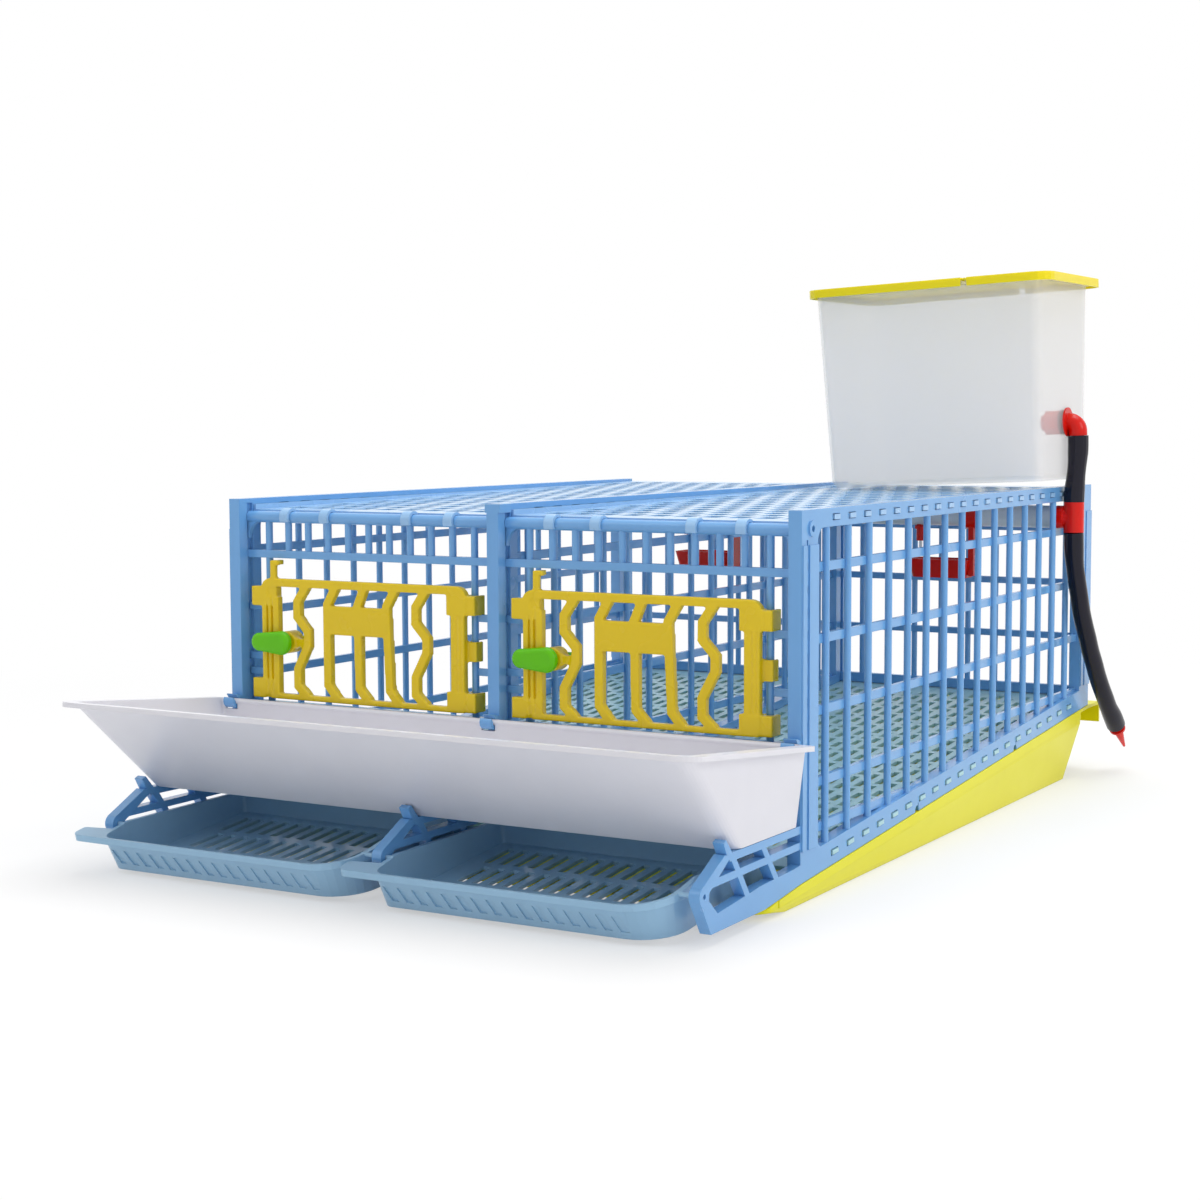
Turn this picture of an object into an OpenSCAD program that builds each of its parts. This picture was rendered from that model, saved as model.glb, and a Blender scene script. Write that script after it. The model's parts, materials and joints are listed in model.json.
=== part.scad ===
// Two-compartment quail cage of snap-together plastic grilles.
// X runs to the right, Y to the back and Z up from the ground.
// Sizes below are in millimetres, with Y counted from the front of the posts.

/* [Cage] */
// Width over the two side panels
cage_w = 500; // [440:1:560]
// Depth over the posts
cage_d = 625; // [600:1:660]
// Height of the top rails above the ground
cage_h = 270.5; // [268:0.5:276]
// Height of the panels' lower edge at the front
front_lift = 15; // [15:0.5:17]
// How much the lower edge climbs to the back
floor_rise = 50; // [44:1:52]
// Thickness of the upright panels
panel_t = 10; // [9.5:0.1:11]
// Gap between pieces that snap together
fit_gap = 0.3; // [0.25:0.01:0.4]

/* [Upright panels] */
// Depth of the corner posts
post_d = 26; // [24:0.5:30]
// Height of the top rail
top_rail_h = 13; // [12:0.5:15]
// Height of the bottom rail
bottom_rail_h = 18; // [16:0.5:20]
// Height of the level rails between the bars
side_rail_h = 6.5; // [5:0.5:8]
// Thickness of the level rails
side_rail_t = 4; // [3:0.5:5]
// Depth of the highest level rail's middle below the top
side_rail_z = 40.5; // [39:0.5:44]
// Step from one level rail down to the next
side_rail_step = 50; // [44:1:51]
// Diameter of the upright bars
bar_dia = 5.5; // [4.5:0.1:6]
// Distance between the upright bars
side_pitch = 37; // [34:0.5:40]
// Place of the first upright bar behind the post front
side_first = 45.5; // [42:0.1:50]
// Distance between the snap slots
slot_pitch = 27; // [24:0.5:32]
// Length of a snap slot
slot_l = 12; // [10:0.5:14]
// Height of a snap slot
slot_h = 4.6; // [4.2:0.1:5]
// Depth of the groove that holds the front and rear panels
groove_deep = 2.5; // [2:0.1:3]

/* [Wings] */
// Thickness of the wings in front of the posts
wing_t = 8; // [6:0.5:9]
// Reach of the foot in front of the posts
wing_reach = 130.5; // [126:0.5:134]
// Height of the foot's sole above the ground
wing_sole = 8; // [7.8:0.1:8.6]
// Top of the rail that carries the feed trough
wing_top = 55.5; // [54:0.5:57]
// Diameter of the boss that holds the egg tray
wing_boss = 13; // [11:0.5:14]

/* [Floor and roof] */
// Thickness of the floor and roof panels
deck_t = 3; // [2.5:0.1:3.2]
// Height of the floor's underside above the lower edge
deck_lift = 7.3; // [6.8:0.1:7.6]
// Length of a floor slot
floor_slot = 17; // [14:0.5:18.5]
// Width of a floor slot
floor_slot_w = 6; // [4:0.5:7]
// Distance between floor slots side by side
floor_pitch = 12.5; // [11:0.5:16]
// Distance between rows of floor slots
floor_row = 24; // [22:0.5:28]
// Distance of the roof's front edge below the top of the rails
roof_drop = 8.9; // [8.5:0.1:9.2]
// How much the roof climbs to the back
roof_rise = 6.7; // [4:0.1:6.8]
// Width of a roof opening
roof_hole_w = 15; // [10:0.5:17]
// Length of a roof opening
roof_hole_l = 20; // [14:0.5:22]

/* [Front and rear panels] */
// Place of the front panel behind the post front
front_y = 10; // [9:0.5:12]
// Thickness of the front and rear panels' rails
front_t = 6; // [5.7:0.1:6.4]
// Distance between the front panel's bars
front_pitch = 19.6; // [18.8:0.1:20]
// Diameter of the round top rail
hem_dia = 9; // [8:0.5:9.5]
// Top of the sill below the door
sill_z = 110; // [106:0.5:111]
// Depth of the underside of the rail above the door below the top
head_z = 46.5; // [45.5:0.5:48.5]
// Underside of the bottom rail above the egg gap
egg_gap_z = 62; // [58:0.5:64]
// Diameter of the legs in the egg gap
leg_dia = 7; // [6:0.5:8]
// Place of the legs from the middle of the compartment
leg_x = 40; // [30:1:48]

/* [Doors] */
// Thickness of the door
door_t = 6; // [5:0.5:6.5]
// Place of the door's front behind the post front
door_y = 2; // [1.5:0.1:2.5]
// Width of the wavy bars
wave_w = 7; // [5:0.5:8]
// How far the wavy bars swing to each side
wave_amp = 4.8; // [3:0.1:6]
// Distance between the wavy bars
wave_pitch = 28; // [26:0.5:30]
// Running gap of the hinge blocks round the guide bar
hinge_gap = 0.1; // [0.05:0.01:0.1]
// Diameter of the latch shaft
latch_shaft = 6; // [5:0.5:7]
// Height of the latch above the ground
latch_z = 158.5; // [154:0.5:163]

/* [Feed trough] */
// Length of the trough's floor
trough_l = 500; // [440:1:504]
// Length added by the flare at each end
trough_flare = 7; // [4:0.5:8]
// Height of the front rim
trough_front_z = 128.5; // [124:0.5:130]
// Reach of the front wall before the posts
trough_reach = 176; // [172:1:180]
// Height of the rear bead that hangs in the hooks
bead_z = 110.3; // [108:0.1:110.5]
// Diameter of the rear bead
bead_dia = 4.4; // [4:0.1:4.6]
// Wall of the trough
trough_wall = 2.5; // [2:0.1:3]
// Width of the turned-out rim
trough_rim = 7; // [5:0.5:8]

/* [Egg trays] */
// Wall of an egg tray
egg_wall = 2.5; // [2:0.1:3]
// Reach of the tray's floor before the posts
egg_reach = 152; // [147:1:153]
// Reach of the rim before the posts
egg_rim_reach = 166; // [163:1:169]
// Height of the front rim
egg_front_z = 28.5; // [27:0.5:30]
// Height of the rim beside the bosses
egg_side_z = 35.5; // [34:0.5:36.5]
// Height of the thick rim
egg_rim_h = 5; // [4:0.5:6]
// Diameter of the snap pegs
peg_dia = 3.1; // [2.6:0.1:3.4]

/* [Manure tray] */
// Wall of the manure tray
muck_wall = 2.5; // [2:0.1:3]
// Lean of the side walls over their height
muck_draft = 0.16; // [0.1:0.01:0.18]
// Length of the flat bottom behind the posts
muck_flat = 585; // [560:1:590]
// Reach of the scoop before the posts
muck_scoop = 60; // [50:1:64]
// Reach of the rear lip behind the posts
muck_lip = 34; // [28:1:40]

/* [Water tank] */
// Length of the tank's bottom
tank_l = 201.8; // [190:0.1:206]
// Width of the tank's bottom
tank_w = 119; // [110:1:122]
// Height of the tank body
tank_h = 177; // [150:0.5:190]
// Flare of each end wall from bottom to top
tank_flare = 4.9; // [2:0.1:6]
// Flare of the front and back walls from bottom to top
tank_flare_y = 8.2; // [4:0.1:9]
// Radius of the upright corners
tank_round = 9; // [7:0.5:14]
// Wall of the tank
tank_wall = 2; // [1.8:0.1:2.5]
// Tilt of the tank, right end up
tank_tilt = 2.5; // [2.2:0.1:2.6]
// Height of the outlet above the tank's bottom
outlet_h = 51; // [49:0.5:53]
// Overhang of the lid past the tank
lid_over = 8.7; // [8.5:0.1:11]
// How far the lid sits to the outlet's side
lid_shift = 2.5; // [0:0.1:2.6]
// Height of the lid's skirt
lid_skirt = 7.4; // [6:0.1:10]
// Share of the lid's length that stays shut
lid_split = 0.665; // [0.55:0.005:0.7]

/* [Water line] */
// Diameter of the water pipe
pipe_dia = 20; // [18:0.5:21]
// Bore of the water pipe
pipe_bore = 16; // [14:0.5:16.5]
// Gap between the side bars that the water pipe passes, counted from the rear
pipe_bay = 1; // [1:1:6]
// Place of the tee outside the side panel
tee_out = 10; // [10:0.5:12]
// Diameter of the tee's upright run
tee_dia = 18; // [17:0.5:18.5]
// Height of the tee's upright run
tee_h = 27; // [24:0.5:27]
// How far the elbow's mouth stands outside the tee
hose_lean = 2.9; // [2:0.1:5]
// Outer diameter of the hoses
hose_dia = 17; // [16:0.5:18]
// Diameter of the drain hose
drain_dia = 16; // [15:0.5:17]
// Length of the drain plug's grip
plug_grip = 12; // [8:1:16]
// Length of the drain plug's tip
plug_tip = 18; // [12:1:24]
// Bore of the supply hose
hose_bore = 11; // [10:0.5:11]
// Place of the nipple from the middle of the compartment
nipple_x = -8; // [-14:1:-4]
// Diameter of the nipple body
nipple_dia = 8; // [7:0.5:9]
// Diameter of the nipple pin
pin_dia = 3; // [2.5:0.1:3.4]
// Depth of the drinker cup's rim below the pipe's middle
cup_z = 40.5; // [38:0.5:43]
// Depth of the drinker cup
cup_deep = 17; // [14:0.5:19]
// Length of the drinker cup's rim
cup_l = 59; // [56:1:64]
// Width of the drinker cup's rim
cup_w = 32; // [30:1:36]

/* [Hidden] */
$fn = 48;

blue = "#86B6E2";
yellow = "#D5C41C";
tray_yellow = "#E5E018";
white = "#E6E8F5";
clear = "#DEDFE8";
red = "#E01A0A";
green = "#5FD000";
black = "#15132B";
steel = "#B8BCC4";

// Where the two compartments lie and how wide they are inside
half_w = cage_w / 2;
room_w = half_w - panel_t - panel_t / 2;
room_x = [-(half_w + panel_t / 2 - panel_t) / 2, (half_w + panel_t / 2 - panel_t) / 2];
half_room = room_w / 2;
slide_in = half_room - fit_gap;
groove_in = half_room + groove_deep - 0.5;

// The panels' lower edge and what follows its slope
slope = atan(floor_rise / cage_d);
function edge_z(y) = front_lift + floor_rise * y / cage_d;
function floor_top(y) = edge_z(y) + deck_lift + deck_t;

// The side panels' upright bars and level rails, whose numbers follow the cage's size
side_bars = floor((cage_d - post_d - 8 - side_first) / side_pitch);
rail_z = cage_h - side_rail_z;
side_rails = floor((rail_z - side_rail_h / 2 - floor_top(cage_d) - 1) / side_rail_step);

// The round top rail of the front panel, which the roof hooks over
hem_y = front_y + front_t / 2;
hem_z = cage_h - roof_drop - 5.3;
roof_front = cage_h - roof_drop;
roof_slope = atan(roof_rise / cage_d);
function roof_top(y) = roof_front + roof_rise * y / cage_d;
roof_tab_z = cage_h - 8.2;
roof_tab_h = slot_h - 1;

// The front panel's bars and its two guide bars
bars_beside = floor((half_room - 12) / front_pitch);
bar_count = 2 * bars_beside + 1;
guide_x = front_pitch * bars_beside;
guide_r = bar_dia / 2;
head_low = cage_h - head_z;

// The door between its guide bars
door_low = sill_z + 3.5;
door_top = head_low - 15;
door_back = door_y + door_t;
latch_x = -guide_x + 24;
latch_gap = 0.35;
waves_beside = floor((guide_x - 23.3 - wave_amp - wave_w / 2) / wave_pitch);

// The feed trough's seat and bead
trough_low = wing_top + fit_gap;
bead_y = -6;
trough_back = -5;
trough_foot = -98.5;
trough_tilt = atan((trough_front_z - bead_z - bead_dia / 2) / (trough_reach + trough_back));

// The egg trays hang between the wings
wing_step = half_w - wing_t / 2;
wing_mid = [-wing_step, 0];
peg_y = -139.8;
peg_z = 34;

// The manure tray follows the lower edge
muck_end = cage_d - 22;
muck_round = 18;
function muck_top(y) = edge_z(y) - fit_gap;

// The water line passes over the highest level rail
pipe_back = side_first + (side_bars - pipe_bay + 0.5) * side_pitch;
pipe_z = rail_z + side_rail_h / 2 + fit_gap + pipe_dia / 2;
collar_dia = pipe_dia + 0.4;
tee_x = half_w + tee_out;
cup_rim = pipe_z - cup_z;

// The elbow leaves the tank and turns down into the supply hose
elbow_r = 8.2;
elbow_dia = 16;
elbow_end = 4.3;
flange_t = 1.6;
boss_r = 14;
spigot_dia = hose_bore - 0.4;
outlet_dia = 14;
boss_x = tank_l + tank_flare * outlet_h / tank_h + 0.7;
seat_x = tank_l + tank_flare * (outlet_h - boss_r) / tank_h - tank_wall - 0.1;
mouth_x = boss_x + flange_t + elbow_r;
mouth_z = outlet_h - elbow_r - elbow_end;
tank_x = tee_x + hose_lean - mouth_x * cos(tank_tilt) + mouth_z * sin(tank_tilt);
tank_y = pipe_back - 5;
tank_z = roof_top(tank_y + tank_w / 2) + fit_gap;

// The drain hose hangs free from the tee, in the part's own frame, and is wider where it
// is pushed over the tee and the plug
hose_exit = [tee_x, pipe_back - cage_d / 2, pipe_z - tee_h / 2 - 0.05];
hose_fall = [[0, 0, 0], [0, 1.5, -14.5], [0.5, 3.5, -29], [1.5, 6.5, -43], [2.5, 10.5, -57],
    [3, 15.5, -70.5], [4, 21.5, -84], [5, 28.5, -96.5], [5.5, 36, -109], [6.5, 44, -121],
    [7, 52.5, -133], [8, 61, -144.5], [9, 70.5, -155.5], [9.5, 80.5, -166], [10, 91.5, -175.5],
    [10, 102.5, -185]];
hose_route = [for (p = hose_fall) hose_exit + p];

function unit(v) = v / norm(v);
function left_of(a, b) = let (d = unit(b - a)) [-d[1], d[0]];
function rail_normal(p, i) = unit(
    left_of(p[max(i - 1, 0)], p[max(i, 1)]) +
    left_of(p[min(i, len(p) - 2)], p[min(i + 1, len(p) - 1)]));
function ribbon(p, w) = concat(
    [for (i = [0 : len(p) - 1]) p[i] + rail_normal(p, i) * w / 2],
    [for (i = [len(p) - 1 : -1 : 0]) p[i] - rail_normal(p, i) * w / 2]);
function corner_arc(x, z, r, from) = [for (k = [0 : 4])
    [x + r * cos(from + k * 22.5), z + r * sin(from + k * 22.5)]];
function rounded(x0, z0, x1, z1, r) = concat(
    corner_arc(x1 - r, z0 + r, r, 270), corner_arc(x1 - r, z1 - r, r, 0),
    corner_arc(x0 + r, z1 - r, r, 90), corner_arc(x0 + r, z0 + r, r, 180));

function heading(p, i) = unit(p[min(i + 1, len(p) - 1)] - p[max(i - 1, 0)]);
function ring(c, t, r, n) = let (u = unit(cross([1, 0, 0], t)), v = cross(t, u))
    [for (k = [0 : n - 1]) c + r * (cos(360 * k / n) * u + sin(360 * k / n) * v)];

// A 2D outline in the YZ or XZ plane, made t thick
module in_yz(x, t) translate([x, 0, 0]) rotate([90, 0, 90]) linear_extrude(t) children();
module in_xz(y, t) translate([0, y + t, 0]) rotate([90, 0, 0]) linear_extrude(t) children();
module rod_x(x0, x1, y, z, d) translate([x0, y, z]) rotate([0, 90, 0]) cylinder(h = x1 - x0, d = d);
module rod_y(y0, y1, x, z, d) translate([x, y0, z]) rotate([-90, 0, 0]) cylinder(h = y1 - y0, d = d);
module box(x0, x1, y0, y1, z0, z1) translate([x0, y0, z0]) cube([x1 - x0, y1 - y0, z1 - z0]);
module in_cage() translate([0, -cage_d / 2, 0]) children();
module in_room(k) in_cage() translate([room_x[k], 0, 0]) children();

// A concave corner fillet, turned to face the corner
module fillet(y, z, turn, r = 10) translate([y, z]) rotate(turn) difference() {
    translate([-1, -1]) square(r + 1);
    translate([r, r]) circle(r);
}

// Upright panels: two sides and the partition
slot_count = floor((cage_d - 2 * post_d - slot_pitch / 2) / slot_pitch);
slot_first = (cage_d - (slot_count - 1) * slot_pitch) / 2;
function slot_y(k) = slot_first + k * slot_pitch;

module panel_frame() difference() {
    union() {
        difference() {
            polygon([[0, edge_z(0)], [cage_d, edge_z(cage_d)], [cage_d, cage_h], [0, cage_h]]);
            polygon([[post_d, edge_z(post_d) + bottom_rail_h],
                [cage_d - post_d, edge_z(cage_d - post_d) + bottom_rail_h],
                [cage_d - post_d, cage_h - top_rail_h], [post_d, cage_h - top_rail_h]]);
        }
        fillet(post_d, cage_h - top_rail_h, 270);
        fillet(cage_d - post_d, cage_h - top_rail_h, 180);
        fillet(post_d, edge_z(post_d) + bottom_rail_h, 0);
    }
    for (k = [0 : slot_count - 1]) {
        translate([slot_y(k) - slot_l / 2, roof_tab_z - 0.5]) square([slot_l, slot_h]);
        translate([slot_y(k), edge_z(slot_y(k)) + deck_lift + deck_t / 2]) rotate(slope)
            square([slot_l, slot_h], center = true);
    }
    // hooked notches under the lower edge
    for (y = [cage_d / 3, cage_d - 198]) {
        translate([y, edge_z(y) + 1]) circle(3.6);
        translate([y + 1.5, edge_z(y) + 1]) square([1.2, 5.6]);
    }
}

module panel_bars() {
    for (k = [0 : side_bars]) {
        y = side_first + side_pitch * k;
        low = edge_z(y) + bottom_rail_h - 4;
        translate([panel_t - bar_dia / 2 - 0.25, y, low])
            cylinder(h = cage_h - top_rail_h + 2.5 - low, d = bar_dia);
    }
    for (k = [0 : side_rails]) {
        z = rail_z - k * side_rail_step;
        box(2, 2 + side_rail_t, post_d - 1, cage_d - post_d + 1, z - side_rail_h / 2,
            z + side_rail_h / 2);
    }
    // the short lowest rail runs out into the bottom rail
    short_z = edge_z(post_d) + bottom_rail_h + 13;
    short_end = (short_z + side_rail_h / 2 - bottom_rail_h - front_lift) * cage_d / floor_rise;
    box(2, 2 + side_rail_t, post_d - 1, short_end, short_z - side_rail_h / 2,
        short_z + side_rail_h / 2);
}

module wing() in_yz(0, wing_t) difference() {
    union() {
        polygon([[1, front_lift], [1, 28.4], [-9, 27.4], [-61, 25.7], [-76, 24.2],
            [-wing_reach + 8.5, wing_sole + 12], [-wing_reach - 3.5, 30.5], [-145.5, 31],
            [-wing_reach - 0.5, wing_sole], [-56, wing_sole + 0.6], [-35, 10.8]]);
        polygon([[1, 39.2], [1, 44.2], [-131, 42.8], [-131, 37.6]]);
        polygon([[1, wing_top - 5.5], [1, wing_top], [-108, wing_top], [-105, wing_top - 5.5]]);
        polygon([[-103, wing_top - 2], [-112, wing_top], [-143.5, 39.5], [-137, 33]]);
        polygon([[-101, wing_top - 1], [-110.3, 65], [-114, 63.4], [-109, wing_top - 1]]);
        polygon(ribbon([[-102, 54], [-79, 22]], bar_dia));
        polygon(ribbon([[-59, 54], [-34, 22]], bar_dia));
        translate([peg_y, peg_z]) circle(d = wing_boss);
    }
    translate([peg_y, peg_z]) circle(d = peg_dia + fit_gap);
}

// The open hook on a post's front that holds the trough's bead
module bead_hook(x0, x1) difference() {
    union() {
        rod_x(x0, x1, bead_y, bead_z, 11);
        box(x0, x1, bead_y, 0.5, bead_z - 4, bead_z + 4);
    }
    rod_x(x0 - 1, x1 + 1, bead_y, bead_z, bead_dia + 2 * fit_gap);
    translate([0, bead_y, bead_z]) rotate([35, 0, 0])
        box(x0 - 1, x1 + 1, -1.9, 1.9, 0, 8);
}

module panel_groove(x, y) box(x - groove_deep, x + groove_deep, y - fit_gap, y + front_t + fit_gap,
    floor_top(y), cage_h - 3.5);

module upright_panel() {
    difference() {
        in_yz(0, panel_t) panel_frame();
        panel_groove(0, front_y);
        panel_groove(0, cage_d - front_y - front_t);
        children();
    }
    panel_bars();
}

// Local X runs from the inner face to the outer face of a side panel
module side_panel() {
    rib = 1.2;
    pockets = 9;
    upright_panel() {
        for (k = [0 : pockets])
            box(panel_t - 3, panel_t + 1, 7.9, 10.1, 105 + 15.5 * k, 110.5 + 15.5 * k);
        rod_x(panel_t - 4, panel_t + 2, front_y + front_t, cage_h - top_rail_h, 4.5);
    }
    for (y = [0, cage_d - post_d]) {
        low = edge_z(y) + bottom_rail_h + 4;
        high = cage_h - top_rail_h - 11;
        box(panel_t - 0.5, panel_t + rib, y + 0.8, y + front_y - 3, low, high);
        box(panel_t - 0.5, panel_t + rib, y + front_y + 1, y + post_d - 0.5, low, high);
    }
    difference() {
        rod_x(panel_t - 1, panel_t + rib, front_y + front_t, cage_h - top_rail_h, 11);
        rod_x(panel_t - 2, panel_t + rib + 1, front_y + front_t, cage_h - top_rail_h, 4.5);
    }
    translate([panel_t - wing_t, 0, 0]) wing();
    bead_hook(0, panel_t);
}

// The right side's bars give way to the tee where it passes between them
module side_panel_right() color(blue) in_cage() difference() {
    translate([half_w - panel_t, 0, 0]) side_panel();
    rod_x(tee_x - tee_out - 5 - fit_gap, tee_x, pipe_back, pipe_z, collar_dia + 2 * fit_gap);
}
module side_panel_left() color(blue) in_cage() mirror([1, 0, 0])
    translate([half_w - panel_t, 0, 0]) side_panel();

module partition_panel() color(blue) in_cage() translate([-panel_t / 2, 0, 0]) {
    upright_panel() {
        panel_groove(panel_t, front_y);
        panel_groove(panel_t, cage_d - front_y - front_t);
    }
    box(-1.5, panel_t + 1.5, 0, front_y + front_t, cage_h - 6.5, cage_h);
    translate([(panel_t - wing_t) / 2, 0, 0]) wing();
    bead_hook(0, panel_t);
}

// Rear panels slide into the rear grooves
module rear_panel(k) in_room(k) {
    y = cage_d - front_y - front_t;
    low = floor_top(y + front_t) + fit_gap;
    high = roof_top(y) - deck_t - 1.5;
    pitch = 27.2;
    for (z = [[low, low + 9], [high - 8, high]])
        box(-groove_in, groove_in, y, y + front_t, z[0], z[1]);
    for (k = [0 : side_rails - 1])
        box(-groove_in, groove_in, y, y + front_t, rail_z - k * side_rail_step - 3,
            rail_z - k * side_rail_step + 3);
    for (n = [-3.5 : 3.5]) translate([n * pitch, y + front_t / 2, low + 5])
        cylinder(h = high - 4 - low - 5, d = bar_dia);
}
module rear_panel_left() color(blue) rear_panel(0);
module rear_panel_right() color(blue) rear_panel(1);

// Floor panels lie on the slope, with tabs in the bottom rails
module deck_tabs(side_left, side_right, z, h, l, turn) for (k = [0 : slot_count - 1])
    for (side = [[-1, side_left], [1, side_right]])
        translate([side[0] * (slide_in - 0.5), slot_y(k), z(slot_y(k))]) rotate([turn, 0, 0])
            translate([side[0] < 0 ? -side[1] - 0.5 - fit_gap : 0, -l / 2, -h / 2])
                cube([side[1] + 0.5 + fit_gap, l, h]);

through = panel_t + 1;
halfway = panel_t / 2 - 0.5;

module floor_panel(k) in_room(k) {
    length = (cage_d - 7) / cos(slope);
    rows = floor((length - 14 - floor_row / 2) / floor_row);
    per_row = floor((2 * slide_in - 8) / floor_pitch);
    translate([0, 3, edge_z(3) + deck_lift]) rotate([slope, 0, 0]) linear_extrude(deck_t) difference() {
        translate([-slide_in, 0]) square([2 * slide_in, length]);
        for (r = [0 : rows - 1]) for (n = [0 : per_row - 1])
            translate([(n - (per_row - 1) / 2) * floor_pitch - floor_slot_w / 2,
                9 + (r + (n % 2) / 2) * floor_row]) square([floor_slot_w, floor_slot]);
    }
    floor_mid = function (y) edge_z(y) + deck_lift + deck_t / 2;
    deck_tabs(k == 0 ? through : halfway, k == 0 ? halfway : through, floor_mid, deck_t,
        slot_l - 2.4, slope);
}
module floor_panel_left() color(blue) floor_panel(0);
module floor_panel_right() color(blue) floor_panel(1);

// Roof panels hook over the front rail, with tabs in the top rails
module roof_lug(x) difference() {
    rod_x(x - 4, x + 4, hem_y, hem_z, hem_dia + 5.4);
    rod_x(x - 5, x + 5, hem_y, hem_z, hem_dia + 2 * fit_gap);
    box(x - 5, x + 5, hem_y - 9, hem_y + 9, hem_z - 9, hem_z - 3.4);
    box(x - 5, x + 5, hem_y, hem_y + 9, hem_z - 9, hem_z + 2.2);
}

module roof_panel(k) in_room(k) {
    start = hem_y + hem_dia / 2 + fit_gap;
    length = cage_d - 4 - start;
    column = 22;
    row = 28;
    columns = floor((2 * slide_in - 10) / column);
    rows = floor((length - 16) / row);
    difference() {
        union() {
            translate([0, start, roof_top(start) - deck_t]) rotate([roof_slope, 0, 0])
                linear_extrude(deck_t) difference() {
                    translate([-slide_in, 0]) square([2 * slide_in, length]);
                    for (r = [0 : rows - 1]) for (n = [0 : columns - 1 - r % 2])
                        translate([(n - (columns - 1 - r % 2) / 2) * column - roof_hole_w / 2,
                            (length - rows * row) / 2 + (row - roof_hole_l) / 2 + r * row])
                            square([roof_hole_w, roof_hole_l]);
                }
            for (x = [-slide_in, slide_in - 2]) in_yz(x, 2) polygon([
                [start, roof_top(start) - deck_t + 0.2], [cage_d - 5, roof_top(cage_d - 5) - 1],
                [start, roof_tab_z + roof_tab_h]]);
        }
        box(-half_w, half_w, start - 2, start, roof_front - 9, roof_front + 9);
    }
    for (x = [-78, -39, 39, 78]) roof_lug(x);
    tab_mid = function (y) roof_tab_z + roof_tab_h / 2;
    deck_tabs(k == 0 ? through : halfway, k == 0 ? halfway : through, tab_mid, roof_tab_h,
        slot_l - 2.4, 0);
}
module roof_panel_left() color(blue) roof_panel(0);
module roof_panel_right() color(blue) roof_panel(1);

// Front panels frame the doors and stand over the egg gap
module front_panel(k) in_room(k) {
    mid = front_y + front_t / 2;
    rail = 6;
    for (z = [egg_gap_z, sill_z - rail, head_low])
        box(-groove_in, groove_in, front_y, front_y + front_t, z, z + rail);
    rod_x(-slide_in, slide_in, mid, hem_z, hem_dia);
    for (side = [-1, 1]) {
        translate([side * (slide_in + groove_in - 2) / 2, mid, hem_z])
            cube([groove_in - slide_in + 2, front_t, 6], center = true);
        translate([side * leg_x, mid, floor_top(mid + leg_dia / 2) + fit_gap])
            cylinder(h = egg_gap_z + 3 - floor_top(mid + leg_dia / 2) - fit_gap, d = leg_dia);
        in_xz(mid - 2, 4) mirror([side < 0 ? 1 : 0, 0]) translate([slide_in, hem_z - 3])
            rotate(180) fillet(0, 0, 0, 14);
    }
    for (n = [0 : bar_count - 1]) {
        x = -guide_x + n * front_pitch;
        end = n == 0 || n == bar_count - 1;
        translate([x, mid, egg_gap_z + 3])
            cylinder(h = (end ? hem_z : sill_z - 3) - egg_gap_z - 3, d = bar_dia);
        if (!end) translate([x, mid, head_low + 3])
            cylinder(h = hem_z - head_low - 3, d = bar_dia);
    }
    // short stubs to the posts, set back from the path of the opening door
    stub = 5.5;
    stub_y = mid - 0.3;
    for (z = [133, 145.5, 185])
        box(-groove_in, -guide_x, stub_y, mid + 2.5, z - stub / 2, z + stub / 2);
    for (z = [144, 184.5])
        box(guide_x, groove_in, stub_y, mid + 2.5, z - stub / 2, z + stub / 2);
}
module front_panel_left() color(blue) front_panel(0);
module front_panel_right() color(blue) front_panel(1);

// Doors turn on the right guide bar
function wave(x, z0, z1) = let (low = door_low + 1, high = door_top - 3)
    [for (k = [0 : 24]) let (z = low + (high - low) * k / 24) if (z >= z0 && z <= z1)
        [x + wave_amp * cos(720 * k / 24), z]];

module door_outline() {
    low = door_low;
    high = door_top;
    polygon(rounded(-guide_x + 4, high - 6.5, guide_x + 2, high, 3));
    polygon(rounded(-guide_x + 22, low, guide_x - 14, low + 4, 1.5));
    for (x = [-guide_x + 5.2, -guide_x + 16.3, guide_x - 12.3, guide_x - 3.8])
        translate([x, low + 4]) square([7, high - low - 8]);
    for (n = [-waves_beside : waves_beside]) if (abs(n) > 1)
        polygon(ribbon(wave(n * wave_pitch, 0, cage_h), wave_w));
    for (n = [-1, 0, 1]) {
        polygon(ribbon(wave(n * wave_pitch, 0, low + 58), wave_w));
        polygon(ribbon(wave(n * wave_pitch, low + 72, cage_h), wave_w));
    }
    polygon(rounded(-36.7, low + 54.3, 28.4, low + 75, 3));
    // the hook finger that steadies the door under the head rail
    polygon(rounded(-guide_x + 14.4, high - 3, -guide_x + 22, head_low - 0.6, 2));
    // the bridge that carries the latch boss
    translate([latch_x, latch_z - 4.5]) square([16, 9]);
    translate([latch_x, latch_z]) circle(7.5);
}

module door(k) in_room(k) difference() {
    union() {
        in_xz(door_y, door_t) door_outline();
        for (z = [door_low, door_top - 20]) {
            box(guide_x - 16, guide_x + 10.6, door_y, front_y + front_t + 1, z, z + 15);
            box(-guide_x - 10, -guide_x + 16, door_y, front_y - 0.05, z, z + 15);
        }
        box(guide_x - 7.5, guide_x, door_back - 1, hem_y, latch_z - 6, latch_z + 7);
        translate([guide_x, hem_y, latch_z - 6]) cylinder(h = 13, r = guide_r + 3);
        box(-guide_x + 14.4, -guide_x + 22, door_back - 1, front_y + 4, head_low - 5,
            head_low - 0.6);
    }
    translate([guide_x, hem_y, door_low - 1])
        cylinder(h = door_top - door_low + 2, r = guide_r + hinge_gap);
    // the blocks snap on from the front through a narrower mouth
    box(guide_x - 2.3, guide_x + 2.3, hem_y, front_y + front_t + 4, door_low - 1, door_top + 1);
    rod_y(door_y - 1, door_back + 1, latch_x, latch_z, latch_shaft + 2 * hinge_gap);
}
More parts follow.
